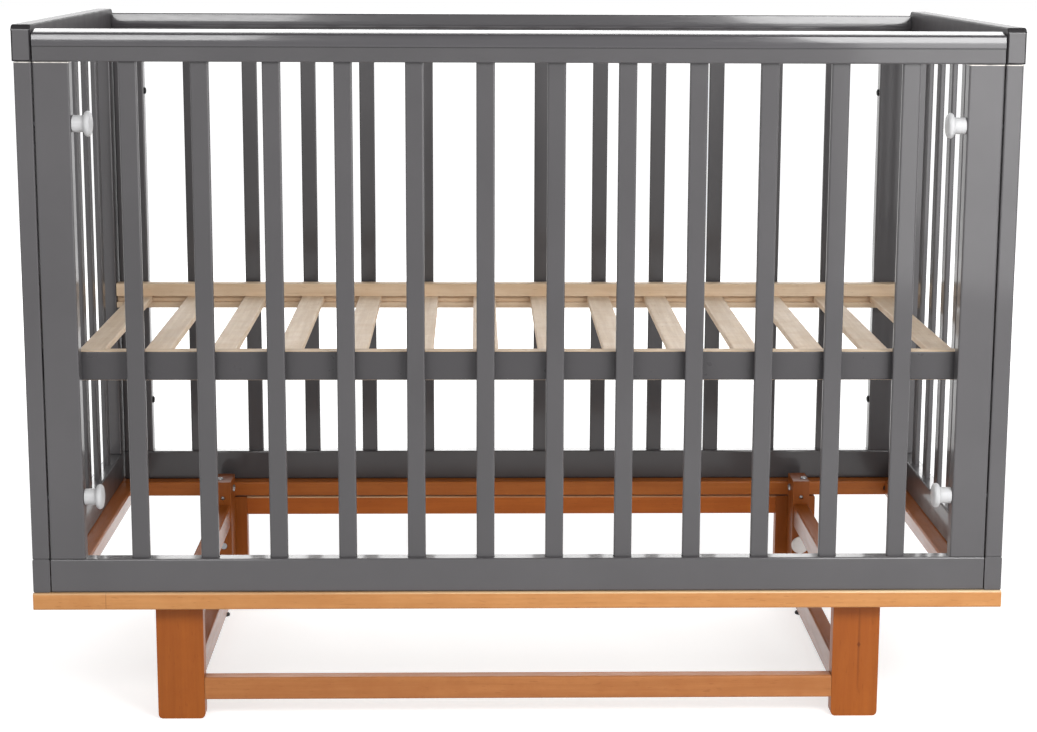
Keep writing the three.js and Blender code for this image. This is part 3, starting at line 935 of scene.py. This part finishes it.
def make_pivot_cap():
    """A white push-on cap over the lower pivot of the right back arm, the one arm that has it."""
    foot_edge, rim_edge, rim_drop = 0.0004, 0.0018, 0.0006
    shallow_drop, shallow_share, middle_share = 0.0002, 0.55, 0.2
    rings = [(0, CAP_RADIUS - foot_edge), (foot_edge, CAP_RADIUS)]
    rings += arc_rings(CAP_HEIGHT - rim_edge - rim_drop, CAP_RADIUS - rim_edge, rim_edge, 0, 75, 5)
    rings += [(CAP_HEIGHT - shallow_drop, CAP_RADIUS * shallow_share)]
    rings += [(CAP_HEIGHT, CAP_RADIUS * middle_share)]
    model = turned("pivot_cap_model", rings)
    dress(model, CAP_PLASTIC)
    smoothed(model, 60)
    low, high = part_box("back_right_arm")
    there = ((low.x + high.x) / 2, low.y - CAP_CLEARANCE, LOWER_PIVOT_Z)
    copy_of(model, "back_right_pivot_cap", there, (0, -1, 0), "crib_body")
    bpy.data.objects.remove(model)


def make_glides():
    """Black rubber glides under the low bars."""
    edge, height = 0.0008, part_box("left_low_bar")[0].z
    rings = [(0, GLIDE_RADIUS - edge), (edge, GLIDE_RADIUS)]
    rings += [(height - edge, GLIDE_RADIUS), (height, GLIDE_RADIUS - edge)]
    model = turned("glide_model", rings)
    dress(model, BLACK_RUBBER)
    smoothed(model)
    for corner, side, facing in corners():
        there = (side * GLIDE_X, facing * GLIDE_Y, 0)
        copy_of(model, f"{corner}_glide", there, (0, 0, 1), "stand")
    bpy.data.objects.remove(model)


for facing_name in FACINGS:
    make_rail_guard(facing_name)
for side_name in SIDES:
    make_end_cap(side_name)
make_pull_pins()
make_bolts()
make_hole_screws()
make_pivot_cap()
make_glides()


# Floor, light and camera


def bright_rays(tree):
    """1 for what the camera, a reflection or a clear material sees, 0 for light that falls."""
    path = node(tree, "LightPath")
    seen = larger(tree, path.outputs["Is Camera Ray"], path.outputs["Is Glossy Ray"])
    return larger(tree, seen, path.outputs["Is Transmission Ray"])


def make_floor():
    """A pale floor that shows white far off and keeps a soft shadow round the crib."""
    width, paleness = 60, (0.7, 0.7, 0.7, 1)
    shadow_radius, white_radius = 1.2, 2.6
    shadow_glow, white_glow = 0.62, 0.95
    floor = started("floor", bpy.ops.mesh.primitive_plane_add, size=width)
    made, tree, shader = material("pale_floor")
    away = node(tree, "VectorMath", place(tree), settings={"operation": "LENGTH"}).outputs["Value"]
    glow = spread(tree, away, shadow_radius, white_radius, shadow_glow, white_glow)
    fill(
        tree,
        shader,
        Base_Color=paleness,
        Roughness=0.9,
        Specular_IOR_Level=0.0,
        Emission_Color=(1, 1, 1, 1),
        Emission_Strength=times(tree, bright_rays(tree), glow),
    )
    dress(floor, made)


def make_world():
    """A studio that is white low down and grey overhead."""
    world = bpy.data.worlds.new("studio")
    bpy.context.scene.world = world
    world.use_nodes = True
    tree = world.node_tree
    tree.nodes.clear()
    white, grey = (1, 1, 1, 1), (0.3, 0.3, 0.3, 1)
    light_strength, seen_strength = 0.7, 1.0
    up = node(tree, "SeparateXYZ", node(tree, "TexCoord").outputs["Generated"]).outputs["Z"]
    sky = ramp(tree, up, (0.3, white), (0.58, grey))
    lit = node(tree, "Background", Color=sky, Strength=light_strength)
    seen = node(tree, "Background", Color=sky, Strength=seen_strength)
    mixed = node(tree, "MixShader", bright_rays(tree), lit.outputs[0], seen.outputs[0])
    node(tree, "OutputWorld", mixed.outputs[0])


def softbox(name, there, aim, wide, tall, power):
    """A rectangular lamp that shines towards a point."""
    bpy.ops.object.select_all(action="DESELECT")
    bpy.ops.object.light_add(type="AREA", location=there)
    lamp = bpy.context.object
    lamp.name = name
    lamp.data.shape = "RECTANGLE"
    lamp.data.size, lamp.data.size_y = wide, tall
    lamp.data.energy = power
    lamp.rotation_euler = (Vector(aim) - Vector(there)).to_track_quat("-Z", "Y").to_euler()
    lamp.visible_camera = False


def make_camera():
    """The camera, level and looking along +Y before it is turned."""
    bpy.ops.object.camera_add(location=CAMERA_PLACE)
    camera = bpy.context.object
    turn = (
        Matrix.Rotation(CAMERA_YAW, 4, "Z")
        @ Matrix.Rotation(math.pi / 2 + CAMERA_PITCH, 4, "X")
        @ Matrix.Rotation(CAMERA_ROLL, 4, "Z")
    )
    camera.matrix_world = Matrix.Translation(CAMERA_PLACE) @ turn
    camera.data.sensor_width = CAMERA_SENSOR
    camera.data.lens = CAMERA_LENS
    camera.data.shift_x, camera.data.shift_y = CAMERA_SHIFT
    camera.data.clip_end = CAMERA_REACH
    bpy.context.scene.camera = camera


make_floor()
make_world()
softbox("key_light", there=(1.35, -1.95, 1.60), aim=(0.75, 0, 0.45), wide=1.5, tall=0.8, power=39)
softbox("side_light", there=(1.20, -2.0, 0.75), aim=(0.55, 0, 0.6), wide=1.0, tall=0.9, power=9)
softbox("fill_light", there=(-1.2, -2.1, 1.55), aim=(-0.7, 0, 0.5), wide=1.4, tall=0.5, power=18)
softbox("back_light", there=(0, 3.8, 2.0), aim=(0, 0, 0.8), wide=5.0, tall=2.4, power=110)
make_camera()
bpy.context.scene.view_settings.view_transform = "Standard"
